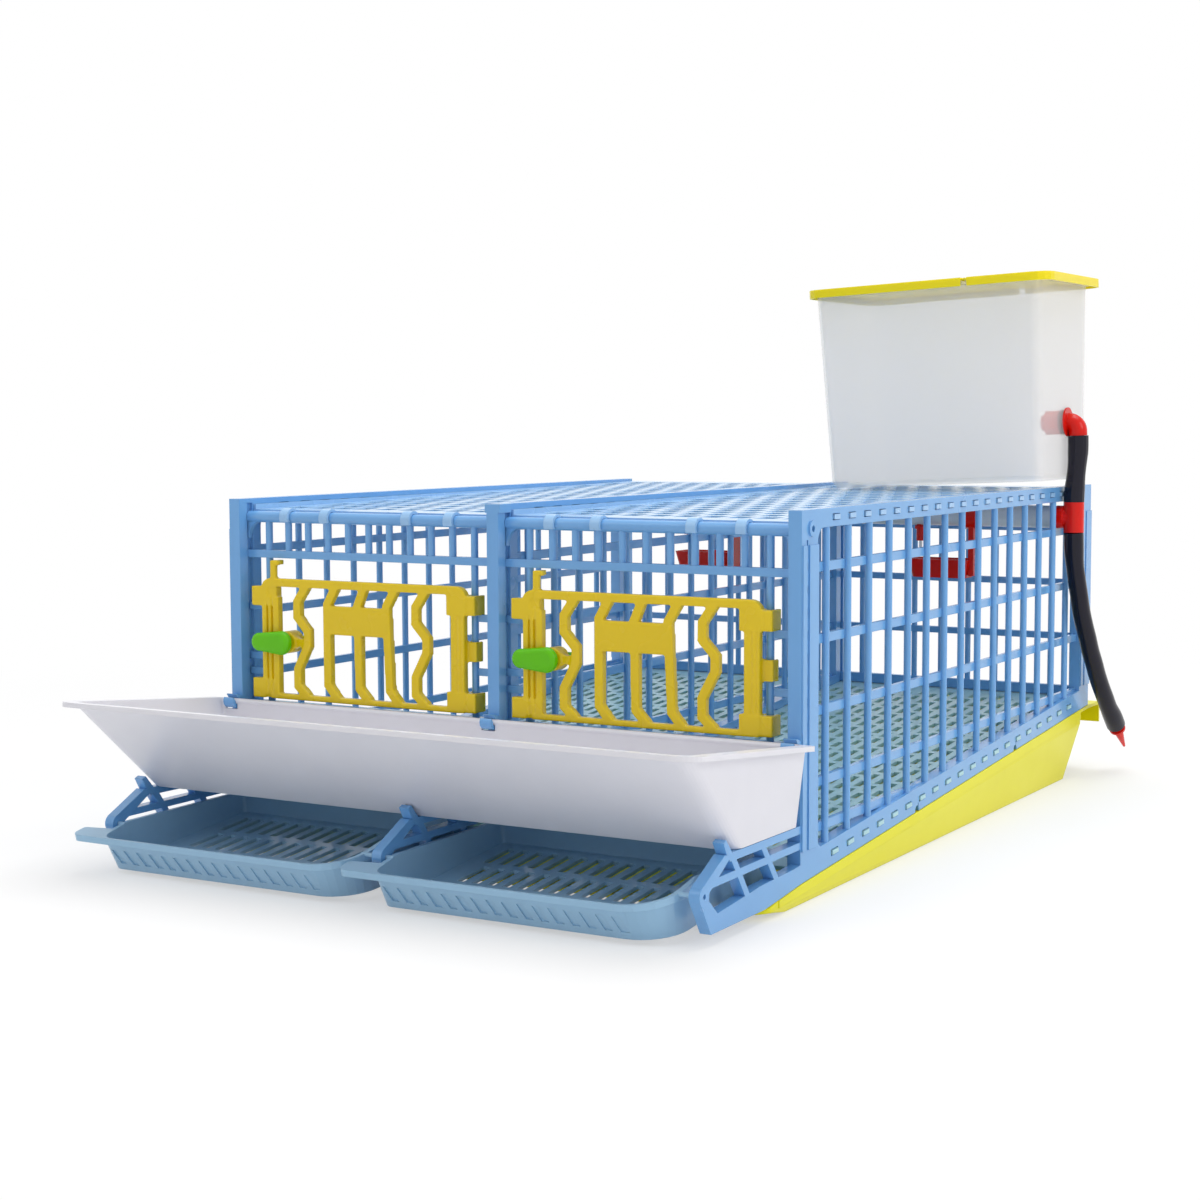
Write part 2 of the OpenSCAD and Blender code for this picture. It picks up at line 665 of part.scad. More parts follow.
module door_left() color(yellow) door(0);
module door_right() color(yellow) door(1);

// Latches: a handle in front and a tongue behind the guide bar
module latch(k) in_room(k) translate([latch_x, 0, latch_z]) {
    tongue_y = hem_y + guide_r + latch_gap;
    reach = 28.5;
    in_xz(door_y - 8, 5) {
        circle(8);
        translate([-reach + 3.2, 0]) circle(3.2);
        polygon([[0, -7.7], [0, 7.7], [-reach + 3.4, 2.9], [-reach + 3.4, -2.9]]);
    }
    rod_y(door_y - 4, door_y - fit_gap, 0, 0, 12);
    rod_y(door_y - 4, tongue_y + 3, 0, 0, latch_shaft);
    rod_y(door_y - 11, door_y - 7, 0, 0, 8);
    in_xz(tongue_y, 3.9) polygon(rounded(-guide_r - 27.5, -4, 7, 4, 2));
}
module latch_left() color(green) latch(0);
module latch_right() color(green) latch(1);

// Feed trough: a flared shell with a bead along its rear rim
module corner_pad(x, y, z, r, tilt, h = 0.4) translate([x, y, z]) rotate([tilt, 0, 0])
    translate([0, 0, -h]) cylinder(h = h, r = r, $fn = 32);

module trough_form(inset, low, over) {
    top_x = trough_l / 2 + trough_flare - inset;
    low_x = trough_l / 2 - inset;
    r = 13 - inset;
    rise = tan(-trough_tilt);
    hull() {
        for (side = [-1, 1]) {
            corner_pad(side * (low_x - r), trough_foot + inset + r, low + 0.4, r, 0);
            corner_pad(side * (low_x - 3), trough_back - inset - 3, low + 0.4, 3, 0);
            corner_pad(side * (top_x + over * 0.1 - r), -trough_reach + inset - over + r,
                trough_front_z + over + rise * r, r, -trough_tilt);
            corner_pad(side * (top_x + over * 0.1 - 3), trough_back - inset - 3,
                bead_z + bead_dia / 2 + over, 3, -trough_tilt);
        }
    }
}

module trough_rim_form(inset, h) hull() for (side = [-1, 1]) {
    out = trough_l / 2 + trough_flare + trough_rim - inset;
    r = 18 - inset;
    corner_pad(side * (out - r), -trough_reach - trough_rim + inset + r,
        trough_front_z + tan(-trough_tilt) * (r - trough_rim), r, -trough_tilt, h);
    corner_pad(side * (out - 3), trough_back - 3.5 - inset * 0.5, bead_z + bead_dia / 2, 3,
        -trough_tilt, h);
}

module feed_trough() color(white) in_cage() {
    difference() {
        union() {
            trough_form(0, trough_low, 0);
            trough_rim_form(0, 3.5);
        }
        trough_form(trough_wall, trough_low + trough_wall, 6);
        for (x = [-half_w + panel_t / 2, 0, half_w - panel_t / 2])
            box(x - panel_t / 2 - 1, x + panel_t / 2 + 1, -20, 1, bead_z - 6.3, bead_z + 9);
    }
    rod_x(-trough_l / 2, trough_l / 2, bead_y, bead_z, bead_dia);
}

// Egg trays: shells with a sloping floor, snapped between the wings
egg_side = 9;
egg_flare = 3.5;
egg_round = 34;
egg_lean = atan((egg_rim_reach - egg_reach) / (egg_front_z - 4));

// The rim's own outline, h thick, over the tray's left wing
module egg_top(left, inset, over, h = 0.4) {
    x0 = left + egg_side + inset;
    x1 = left + wing_step - 17 - inset;
    r = egg_round - inset;
    corner_pad(x0 + 8, -egg_rim_reach + inset + 8 - over, egg_front_z + over + 1.9, 8, 13.5, h);
    corner_pad(x1 + egg_flare - r, -egg_rim_reach + inset + r - over,
        egg_front_z + over + r * 0.24, r, 13.5, h);
    for (x = [x0 + 3 - egg_flare / 2, x1 + egg_flare - 3]) {
        corner_pad(x, -134, egg_side_z + over, 3, 4, h);
        corner_pad(x, -7 - inset, egg_side_z + 2.5 + over, 3, 1, h);
    }
}

module egg_form(left, inset, low, over) hull() {
    x0 = left + egg_side + inset;
    x1 = left + wing_step - 17 - inset;
    r = egg_round - inset;
    corner_pad(x0 + 8, -egg_reach + inset + 8, low + 0.4, 8, 5.9);
    corner_pad(x1 - r + 4, -egg_reach + inset + r - 4, low + 0.4 + 2.7, r - 4, 5.9);
    for (x = [x0 + 3, x1 - 3]) corner_pad(x, -7 - inset, low + 15, 3, 5.9);
    egg_top(left, inset, over);
}

module egg_tray(left) {
    ear = left - wing_t / 2 - 13.7;
    ear_z = egg_front_z + 1.4;
    difference() {
        union() {
            egg_form(left, 0, 4, 0);
            hull() egg_top(left, -1.3, 0, egg_rim_h);
            // the ear that wraps the wing's front
            hull() {
                corner_pad(ear + 6, -egg_rim_reach + 4.7, ear_z, 6, 13.5, egg_rim_h);
                corner_pad(ear + 4, -157, ear_z + 1.4, 3, 13.5, egg_rim_h);
                corner_pad(left + 30, -egg_rim_reach + 4.7, ear_z, 6, 13.5, egg_rim_h);
                corner_pad(left + 30, -151, ear_z + 2.2, 3, 13.5, egg_rim_h);
            }
        }
        egg_form(left, egg_wall, 4 + egg_wall, 6);
        for (r = [0 : 2]) for (n = [0 : floor((wing_step - 51) / 12.6) - r % 2])
            translate([left + 24 + (n + (r % 2) / 2) * 12.6, -136 + r * 42, 0])
                cube([6, 34, 26]);
        // slanting recesses along the front wall
        for (n = [0 : floor((wing_step - egg_round - 33) / 11.9)])
            translate([left + 19.5 + n * 11.9, -egg_reach, 4]) rotate([egg_lean, 0, 0])
                in_xz(-2, 3) polygon([[0, 5], [6, 5], [2, 17.5], [-4, 17.5]]);
    }
    for (side = [[left + fit_gap, left + 10.5], [left + wing_step - 17, left + wing_step - fit_gap]])
        rod_x(side[0], side[1], peg_y, peg_z, peg_dia);
}
module egg_tray_left() color(blue) in_cage() egg_tray(wing_mid[0]);
module egg_tray_right() color(blue) in_cage() egg_tray(wing_mid[1]);

// Manure tray: a shallow wedge that carries the cage
module muck_form(inset, over) {
    function wide(y, z) = half_w - inset - muck_draft * (muck_top(y) - z);
    floor_z = inset;
    hull() {
        translate([0, 0, floor_z]) linear_extrude(0.1) polygon([
            [-wide(-20, floor_z), -20], [wide(-20, floor_z), -20],
            [wide(muck_flat, floor_z), muck_flat - inset],
            [-wide(muck_flat, floor_z), muck_flat - inset]]);
        for (p = [[-35, 9.5, 10.5 + over], [0, 14, muck_top(0) + over],
            [muck_end - inset, 50, muck_top(muck_end) + over]])
            box(-half_w + inset - over * muck_draft, half_w - inset + over * muck_draft,
                p[0], p[0] + 0.1, min(p[1], p[2] - 0.5), p[2]);
        for (side = [-1, 1]) {
            translate([side * (half_w - muck_round), -muck_scoop + muck_round, 4.6 + inset * 0.6])
                cylinder(h = 3 - inset * 0.6 + over, r = muck_round - inset);
        }
    }
}

module manure_tray() color(tray_yellow) in_cage() {
    difference() {
        muck_form(0, 0);
        muck_form(muck_wall, 8);
    }
    for (side = [-1, 1]) in_yz(side < 0 ? -half_w - 0.6 : half_w - 3, 3.6) polygon([
        [-34, 5.5], [-34, 10.4], [0, muck_top(0)], [muck_end, muck_top(muck_end)],
        [muck_end, muck_top(muck_end) - 9], [0, muck_top(0) - 7]]);
    end = cage_d + muck_lip;
    in_yz(-half_w - 0.6, cage_w + 1.2) polygon([
        [muck_end - 4, muck_top(muck_end) - 3], [muck_end - 4, muck_top(muck_end - 4)],
        [cage_d, muck_top(cage_d)], [end - 3, muck_top(cage_d)], [end, muck_top(cage_d) - 4],
        [end, muck_top(cage_d) - 19.5], [end - 3, muck_top(cage_d) - 19.5],
        [end - 3, muck_top(cage_d) - 5], [end - 5, muck_top(cage_d) - 3],
        [cage_d, muck_top(cage_d) - 3]]);
}

// Water tank, leaning on the roof and on its outlet
module on_tank() in_cage() translate([tank_x, tank_y, tank_z]) rotate([0, -tank_tilt, 0]) children();

module tank_form(inset, low, high) {
    r = tank_round - inset;
    // distance outwards from the bottom's outline, sideways and to front and back, and height
    levels = [[-3.5, -3.5, low], [0, 0, low + 5], [tank_flare, tank_flare_y, high - 0.2]];
    hull() for (p = levels) for (side = [-1, 1]) for (x = [-p[0], tank_l + p[0]])
        translate([x + (x < tank_l / 2 ? inset + r : -inset - r),
            side * (tank_w / 2 + p[1] - inset - r), p[2]]) cylinder(h = 0.2, r = r, $fn = 32);
}

module slab(x0, x1, y, z0, z1, r) translate([0, 0, z0]) linear_extrude(z1 - z0)
    polygon(rounded(x0, -y, x1, y, r));

rim_out = 3.6;
rim_x = tank_flare + rim_out;
rim_y = tank_w / 2 + tank_flare_y + rim_out;

module water_tank() color(clear, 0.5) on_tank() difference() {
    union() {
        tank_form(0, 0, tank_h);
        slab(-rim_x, tank_l + rim_x, rim_y, tank_h - 3, tank_h, tank_round + rim_out);
        translate([0, pipe_back - tank_y, 0])
            rod_x(seat_x + 0.2, boss_x, 0, outlet_h, 2 * boss_r);
    }
    tank_form(tank_wall, tank_wall, tank_h + 0.5);
    translate([0, pipe_back - tank_y, 0])
        rod_x(seat_x - 1, boss_x + 1, 0, outlet_h, outlet_dia + fit_gap);
}

// The lid and its flap meet at a thin web across the lid
lid_t = 2.4;
lid_z = tank_h + fit_gap;
lid_x0 = -tank_flare - lid_over + lid_shift;
lid_x1 = tank_l + tank_flare + lid_over + lid_shift;
lid_y = tank_w / 2 + tank_flare_y + lid_over;
split_x = lid_x0 + lid_split * (lid_x1 - lid_x0);
web_w = 6;

module lid_shell() difference() {
    slab(lid_x0, lid_x1, lid_y, lid_z + lid_t - lid_skirt, lid_z + lid_t, 16);
    slab(lid_x0 + 2, lid_x1 - 2, lid_y - 2, lid_z - 20, lid_z, 14);
}

module tank_lid() color(yellow) on_tank() {
    intersection() {
        lid_shell();
        box(lid_x0 - 5, split_x - web_w / 2, -lid_y - 5, lid_y + 5, 0, lid_z + 50);
    }
    // the web turns on a thin bead
    rod_y(-lid_y + 3, lid_y - 3, split_x, lid_z + lid_t / 2, 2.2);
    box(split_x - web_w / 2 - 1, split_x + web_w / 2 - 0.3, -lid_y + 3, lid_y - 3,
        lid_z + lid_t / 2 - 0.4, lid_z + lid_t / 2 + 0.4);
}
module lid_flap() color(yellow) on_tank() {
    intersection() {
        lid_shell();
        box(split_x + web_w / 2, lid_x1 + 5, -lid_y - 5, lid_y + 5, 0, lid_z + 50);
    }
}

// Outlet: elbow outside, seal and nut inside the tank
module at_outlet() on_tank() translate([0, pipe_back - tank_y, outlet_h]) children();

module elbow_bend(d) translate([boss_x + flange_t, 0, -elbow_r]) rotate([90, 0, 0])
    rotate_extrude(angle = 90) translate([elbow_r, 0]) circle(d = d);

module outlet_elbow() color(red) at_outlet() difference() {
    union() {
        rod_x(boss_x + 0.05, boss_x + flange_t, 0, 0, 26);
        rod_x(seat_x - 19, boss_x + 1, 0, 0, outlet_dia);
        elbow_bend(elbow_dia);
        translate([mouth_x, 0, -elbow_r - elbow_end]) cylinder(h = elbow_end, d = elbow_dia);
        translate([mouth_x, 0, -elbow_r - elbow_end - 12]) cylinder(h = 14, d = spigot_dia);
    }
    rod_x(seat_x - 20, boss_x + flange_t, 0, 0, 7);
    elbow_bend(7);
    translate([mouth_x, 0, -elbow_r - elbow_end - 13]) cylinder(h = elbow_end + 13, d = 7);
}
module outlet_seal() color(black) at_outlet() difference() {
    rod_x(seat_x - 2.1, seat_x, 0, 0, 22);
    rod_x(seat_x - 3, seat_x + 1, 0, 0, outlet_dia + 0.2);
}
module outlet_nut() color(red) at_outlet() difference() {
    translate([seat_x - 16.2, 0, 0]) rotate([0, 90, 0]) cylinder(h = 14, d = 21, $fn = 6);
    rod_x(seat_x - 17, seat_x, 0, 0, outlet_dia + 0.2);
}

// Tee on the pipe's end, joining the tank, the pipe and the drain hose
module pipe_tee() color(red) in_cage() translate([tee_x, pipe_back, pipe_z]) difference() {
    union() {
        translate([0, 0, -tee_h / 2]) cylinder(h = tee_h, d = tee_dia);
        translate([0, 0, -tee_h / 2 - 0.05]) cylinder(h = tee_h / 2 + 26, d = spigot_dia);
        rod_x(-tee_out - 5, 0, 0, 0, tee_dia - 1);
        rod_x(-tee_out - 5, -tee_dia / 2 + 1, 0, 0, collar_dia);
        rod_x(-tee_out - 24, -tee_out - 4, 0, 0, pipe_bore - 0.2);
    }
    translate([0, 0, -tee_h / 2 - 1]) cylinder(h = tee_h + 40, d = 7);
    rod_x(-tee_out - 25, 0, 0, 0, 7);
}

// The supply hose is pushed over both spigots and bends a little between them
module supply_hose() color(black) in_cage() {
    top = [tank_x + mouth_x * cos(tank_tilt) - mouth_z * sin(tank_tilt), pipe_back,
        tank_z + mouth_x * sin(tank_tilt) + mouth_z * cos(tank_tilt)];
    lean = [sin(tank_tilt), 0, -cos(tank_tilt)];
    low = [tee_x, pipe_back, pipe_z + tee_h / 2 + 0.15];
    start = top + 0.15 * lean;
    rings = 9;
    bow = norm(start - low);
    centres = [for (k = [0 : rings]) let (t = k / rings, s = 1 - t)
        s * s * s * start + 3 * s * s * t * (start + lean * bow * 0.42)
        + 3 * s * t * t * (low + [0, 0, bow * 0.34]) + t * t * t * low];
    swell = [0.6, 0.6, 0.5, 0, -0.3, -0.3, 0, 0.5, 0.6, 0.6];
    ways = [for (k = [0 : rings]) k == 0 ? lean : k == rings ? [0, 0, -1] :
        unit(centres[k + 1] - centres[k - 1])];
    n = 16;
    outer = [for (k = [0 : rings])
        each upright_ring(centres[k], ways[k], hose_dia / 2 + swell[k], n)];
    inner = [for (k = [0 : rings])
        each upright_ring(centres[k], ways[k], hose_bore / 2 + 0.25, n)];
    half = n * (rings + 1);
    polyhedron(concat(outer, inner), [
        for (k = [0 : rings - 1]) for (j = [0 : n - 1])
            let (a = k * n + j, b = k * n + (j + 1) % n) each [[a, b, b + n], [a, b + n, a + n],
                [half + a, half + b + n, half + b], [half + a, half + a + n, half + b + n]],
        for (j = [0 : n - 1]) let (i = (j + 1) % n, e = rings * n)
            each [[j, half + i, i], [j, half + j, half + i],
                [e + j, e + i, half + e + i], [e + j, half + e + i, half + e + j]]]);
}
function upright_ring(c, t, r, n) = let (u = unit(cross([0, 1, 0], t)), v = cross(t, u))
    [for (k = [0 : n - 1]) c + r * (cos(360 * k / n) * u + sin(360 * k / n) * v)];

// Water pipe with its cap, nipples and cups
module water_pipe() color(white) in_cage() translate([0, pipe_back, pipe_z]) difference() {
    rod_x(-half_w + 18, half_w - 5.1, 0, 0, pipe_dia);
    rod_x(-half_w, half_w + 10, 0, 0, pipe_bore);
    for (x = room_x) translate([x + nipple_x, 0, -pipe_dia])
        cylinder(h = pipe_dia, d = nipple_dia + 0.2);
}
module pipe_end_cap() color(white) in_cage() translate([0, pipe_back, pipe_z]) difference() {
    rod_x(-half_w + 14, -half_w + 30, 0, 0, pipe_dia + 4);
    rod_x(-half_w + 17.9, -half_w + 31, 0, 0, pipe_dia + 0.1);
}

module nipple_body(k) in_room(k) translate([nipple_x, pipe_back, pipe_z]) difference() {
    union() {
        translate([0, 0, -pipe_dia / 2 - 14.5]) cylinder(h = 19, d = nipple_dia);
        translate([0, 0, -pipe_dia / 2 - 3.5]) cylinder(h = 3.2, d = nipple_dia + 3);
    }
    translate([0, 0, -pipe_dia / 2 - 15]) cylinder(h = 13, d = pin_dia + 0.2);
    translate([0, 0, -pipe_dia / 2 - 4]) cylinder(h = 12, d = 1.6);
}
module nipple_pin(k) in_room(k)
    translate([nipple_x, pipe_back, pipe_z - pipe_dia / 2 - 20.5]) {
    cylinder(h = 14, d = pin_dia);
    translate([0, 0, -1]) cylinder(h = 2, d1 = pin_dia - 1.2, d2 = pin_dia);
}
module nipple_body_left() color(red) nipple_body(0);
module nipple_body_right() color(red) nipple_body(1);
module nipple_pin_left() color(steel) nipple_pin(0);
module nipple_pin_right() color(steel) nipple_pin(1);

// A tapered bowl; its strap and ring hold it on the pipe
module cup_form(inset, low, high) hull() for (p = [[-3.5, low], [0, high]])
    translate([13.5, 0, p[1]]) linear_extrude(0.2) polygon(rounded(
        -cup_l / 2 - p[0] + inset, -cup_w / 2 - p[0] + inset,
        cup_l / 2 + p[0] - inset, cup_w / 2 + p[0] - inset, 6 - inset));

module drinker_cup(k) in_room(k) translate([0, pipe_back, 0]) {
    strap = 13.5 + cup_l / 2 - 2;
    difference() {
        cup_form(0, cup_rim - cup_deep, cup_rim - 0.2);
        cup_form(1.8, cup_rim - cup_deep + 1.8, cup_rim + 0.1);
    }
    ring = pipe_dia / 2 + 0.1;
    difference() {
        union() {
            box(strap, strap + 5, -7, 7, cup_rim - cup_deep + 2, pipe_z - ring);
            rod_x(strap - 4, strap + 8, 0, pipe_z, 2 * ring + 5);
        }
        rod_x(strap - 5, strap + 9, 0, pipe_z, 2 * ring);
        box(strap - 5, strap + 9, 3, 20, pipe_z - 2.5, pipe_z + 2.5);
    }
}
module drinker_cup_left() color(red) drinker_cup(0);
module drinker_cup_right() color(red) drinker_cup(1);

// Drain hose and the plug in its end
module drain_hose() color(black) {
    n = 12;
    last = len(hose_route) - 1;
    points = [for (i = [0 : last])
        each ring(hose_route[i], i == 0 ? [0, 0, -1] : heading(hose_route, i),
            drain_dia / 2 + (i < 2 || i > last - 2 ? 0.8 : 0), n)];
    polyhedron(points, concat([[for (k = [n - 1 : -1 : 0]) k]],
        [for (i = [0 : last - 1]) for (k = [0 : n - 1]) let (a = i * n + k, b = i * n + (k + 1) % n)
            each [[a, b, b + n], [a, b + n, a + n]]],
        [[for (k = [0 : n - 1]) last * n + k]]));
}

module drain_plug() color(red) {
    last = len(hose_route) - 1;
    way = heading(hose_route, last);
    translate(hose_route[last] + 0.05 * way) rotate([0, acos(way[2]), atan2(way[1], way[0])]) {
        cylinder(h = 7, d = spigot_dia);
        translate([0, 0, 5]) cylinder(h = 2.5, d = drain_dia - 1);
        translate([0, 0, 7]) cylinder(h = plug_grip, d1 = 9, d2 = 7);
        translate([0, 0, 6.9 + plug_grip]) cylinder(h = plug_tip, d1 = 7, d2 = 2.4);
    }
}

side_panel_right();
side_panel_left();
partition_panel();
rear_panel_left();
rear_panel_right();
roof_panel_left();
roof_panel_right();
front_panel_left();
front_panel_right();
floor_panel_left();
floor_panel_right();
egg_tray_left();
egg_tray_right();
feed_trough();
manure_tray();
door_left();
door_right();
latch_left();
latch_right();
water_tank();
tank_lid();
lid_flap();
outlet_elbow();
outlet_seal();
outlet_nut();
supply_hose();
pipe_tee();
water_pipe();
pipe_end_cap();
drinker_cup_left();
drinker_cup_right();
nipple_body_left();
nipple_body_right();
nipple_pin_left();
nipple_pin_right();
drain_hose();
drain_plug();
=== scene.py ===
import json
import math

import bmesh
import bpy
from mathutils import Matrix, Vector


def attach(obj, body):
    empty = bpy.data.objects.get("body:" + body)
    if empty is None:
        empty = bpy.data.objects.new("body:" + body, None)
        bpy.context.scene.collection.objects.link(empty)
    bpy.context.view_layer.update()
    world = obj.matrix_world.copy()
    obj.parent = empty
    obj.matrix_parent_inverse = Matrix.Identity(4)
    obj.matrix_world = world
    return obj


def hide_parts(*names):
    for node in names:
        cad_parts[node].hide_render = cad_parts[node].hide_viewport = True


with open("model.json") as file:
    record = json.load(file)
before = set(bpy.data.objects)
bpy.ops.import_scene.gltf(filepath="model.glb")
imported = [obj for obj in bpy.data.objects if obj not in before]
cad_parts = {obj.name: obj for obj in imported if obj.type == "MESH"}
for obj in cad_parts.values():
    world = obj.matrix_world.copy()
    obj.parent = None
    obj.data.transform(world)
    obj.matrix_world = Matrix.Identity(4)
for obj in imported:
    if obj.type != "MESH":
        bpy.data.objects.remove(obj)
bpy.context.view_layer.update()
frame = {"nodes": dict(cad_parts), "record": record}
scene = bpy.context.scene
nodes = frame["nodes"]
mm = 0.001
postFront = -312.5 * mm  # the depths of doors and latches count from here

# camera: the photograph's own viewpoint
camera = {
    "place": (0.85913, -1.60440, 0.33185),  # m
    "turn": 30.7107,  # degrees to the left of straight back
    "dip": 4.8754,  # degrees below level
    "roll": -0.2195,  # degrees
    "lens": 63.415,  # mm
    "sensor": 36,  # mm wide
    "near": 0.05,  # m, nothing nearer is drawn
    "far": 50,
}


def makeCamera():
    turn, dip, roll = (math.radians(camera[k]) for k in ("turn", "dip", "roll"))
    ahead = Vector((-math.sin(turn) * math.cos(dip), math.cos(turn) * math.cos(dip),
                    -math.sin(dip)))
    side = Vector((math.cos(turn), math.sin(turn), 0))
    up = side.cross(ahead)
    tiltedSide = side * math.cos(roll) + up * math.sin(roll)
    tiltedUp = up * math.cos(roll) - side * math.sin(roll)
    data = bpy.data.cameras.new("photoCamera")
    data.lens = camera["lens"]
    data.sensor_width = camera["sensor"]
    data.clip_start, data.clip_end = camera["near"], camera["far"]
    eye = bpy.data.objects.new("photoCamera", data)
    basis = Matrix((tiltedSide, tiltedUp, -ahead)).transposed().to_4x4()
    eye.matrix_world = Matrix.Translation(camera["place"]) @ basis
    scene.collection.objects.link(eye)
    scene.camera = eye


makeCamera()
print("camera placed")


# materials
def linear(hexText):
    # the colour of a hex text, in the linear values that the shaders take
    parts = [int(hexText[i:i + 2], 16) / 255 for i in (1, 3, 5)]
    return [c / 12.92 if c <= 0.04045 else ((c + 0.055) / 1.055) ** 2.4 for c in parts] + [1]


def addNode(tree, kind, settings=None, links=None):
    # settings are inputs or properties, links map an input to a (node, output) pair
    node = tree.nodes.new(kind)
    for name, value in (settings or {}).items():
        if isinstance(name, int) or name in node.inputs:
            node.inputs[name].default_value = value
        else:
            setattr(node, name, value)
    for name, (source, output) in (links or {}).items():
        tree.links.new(source.outputs[output], node.inputs[name])
    return node


def newMaterial(name):
    material = bpy.data.materials.new(name)
    material.use_nodes = True
    tree = material.node_tree
    tree.nodes.clear()
    return material, tree


mouldedPlastic = {
    "grain": 0.6 * mm,  # spark-eroded mould skin, drawn a little coarse so that it shows
    "relief": 0.035,  # how strongly that skin shows
    "flow": 45 * mm,  # faint clouds where the melt has flowed
    "gloss": (-0.05, 0.07),  # how far the clouds change the roughness
    "edge": 0.5 * mm,  # how round the moulded edges look
    "depth": 4 * mm,  # how far light spreads inside the plastic
}


def moulded(name, colour, shade, rough, coat=0.0, inside=0.0, shine=0.5):
    # polypropylene from a mould: satin, even in colour, with soft edges and faint flow clouds
    look = mouldedPlastic
    material, tree = newMaterial(name)
    place = addNode(tree, "ShaderNodeTexCoord")
    clouds = addNode(tree, "ShaderNodeTexNoise",
                     {"Scale": 1 / look["flow"], "Detail": 3.0, "Roughness": 0.5},
                     {"Vector": (place, "Object")})
    # a mix node's inputs 6 and 7 and its output 2 are its colours
    tint = addNode(tree, "ShaderNodeMix",
                   {"data_type": "RGBA", 6: linear(colour), 7: linear(shade)},
                   {0: (clouds, "Fac")})
    grain = addNode(tree, "ShaderNodeTexNoise", {"Scale": 1 / look["grain"], "Detail": 2.0},
                    {"Vector": (place, "Object")})
    sheen = addNode(tree, "ShaderNodeMapRange",
                    {"To Min": rough + look["gloss"][0], "To Max": rough + look["gloss"][1]},
                    {"Value": (clouds, "Fac")})
    soft = addNode(tree, "ShaderNodeBevel", {"Radius": look["edge"], "samples": 4})
    skin = addNode(tree, "ShaderNodeBump", {"Strength": look["relief"], "Distance": 0.1 * mm},
                   {"Height": (grain, "Fac"), "Normal": (soft, "Normal")})
    body = addNode(tree, "ShaderNodeBsdfPrincipled",
                   {"IOR": 1.49, "Specular IOR Level": shine, "Coat Weight": coat,
                    "Subsurface Weight": inside, "Subsurface Scale": look["depth"],
                    "Subsurface Radius": (1.0, 1.0, 1.0)},
                   {"Base Color": (tint, 2), "Roughness": (sheen, "Result"),
                    "Normal": (skin, "Normal")})
    addNode(tree, "ShaderNodeOutputMaterial", None, {"Surface": (body, "BSDF")})
    return material


milkyPlastic = {
    "wave": 60 * mm,  # slow unevenness of a thin moulded wall
    "rough": (0.3, 0.38),
    "edge": 1.5 * mm,  # how round the wall's edges look
}


def milkyTank(name):
    # natural polypropylene in a thin wall: light comes through it, but spread into a white haze
    material, tree = newMaterial(name)
    place = addNode(tree, "ShaderNodeTexCoord")
    clouds = addNode(tree, "ShaderNodeTexNoise",
                     {"Scale": 1 / milkyPlastic["wave"], "Detail": 2.0},
                     {"Vector": (place, "Object")})
    soft = addNode(tree, "ShaderNodeBevel", {"Radius": milkyPlastic["edge"], "samples": 4})
    skin = addNode(tree, "ShaderNodeBump", {"Strength": 0.03, "Distance": 0.4 * mm},
                   {"Height": (clouds, "Fac"), "Normal": (soft, "Normal")})
    haze = addNode(tree, "ShaderNodeMapRange",
                   {"To Min": milkyPlastic["rough"][0], "To Max": milkyPlastic["rough"][1]},
                   {"Value": (clouds, "Fac")})
    # four walls lie one behind another, so each one lets most of the light straight through
    body = addNode(tree, "ShaderNodeBsdfPrincipled",
                   {"Base Color": linear("#F6F5F7"), "IOR": 1.49, "Alpha": 0.3,
                    "Specular IOR Level": 0.4},
                   {"Roughness": (haze, "Result"), "Normal": (skin, "Normal")})
    addNode(tree, "ShaderNodeOutputMaterial", None, {"Surface": (body, "BSDF")})
    return material


def vinylHose(name):
    # soft extruded vinyl, near black with a violet cast and a long wet-looking highlight
    ripple = 11 * mm  # slow waves that the extruder leaves
    material, tree = newMaterial(name)
    place = addNode(tree, "ShaderNodeTexCoord")
    waves = addNode(tree, "ShaderNodeTexNoise", {"Scale": 1 / ripple, "Detail": 2.0},
                    {"Vector": (place, "Object")})
    skin = addNode(tree, "ShaderNodeBump", {"Strength": 0.06, "Distance": 0.5 * mm},
                   {"Height": (waves, "Fac")})
    body = addNode(tree, "ShaderNodeBsdfPrincipled",
                   {"Base Color": linear("#0E0B1E"), "IOR": 1.52, "Roughness": 0.22,
                    "Specular IOR Level": 0.3},
                   {"Normal": (skin, "Normal")})
    addNode(tree, "ShaderNodeOutputMaterial", None, {"Surface": (body, "BSDF")})
    return material


def turnedSteel(name):
    # stainless pin, bright from the lathe
    ring = 0.35 * mm  # tool marks, coarse
    waveAtOne = 0.314  # a wave texture's ring at scale 1
    material, tree = newMaterial(name)
    place = addNode(tree, "ShaderNodeTexCoord")
    rings = addNode(tree, "ShaderNodeTexWave",
                    {"Scale": waveAtOne / ring, "bands_direction": "Z"},
                    {"Vector": (place, "Object")})
    skin = addNode(tree, "ShaderNodeBump", {"Strength": 0.1, "Distance": 0.05 * mm},
                   {"Height": (rings, "Fac")})
    body = addNode(tree, "ShaderNodeBsdfPrincipled",
                   {"Base Color": linear("#C6C8CC"), "Metallic": 1.0, "Roughness": 0.3},
                   {"Normal": (skin, "Normal")})
    addNode(tree, "ShaderNodeOutputMaterial", None, {"Surface": (body, "BSDF")})
    return material


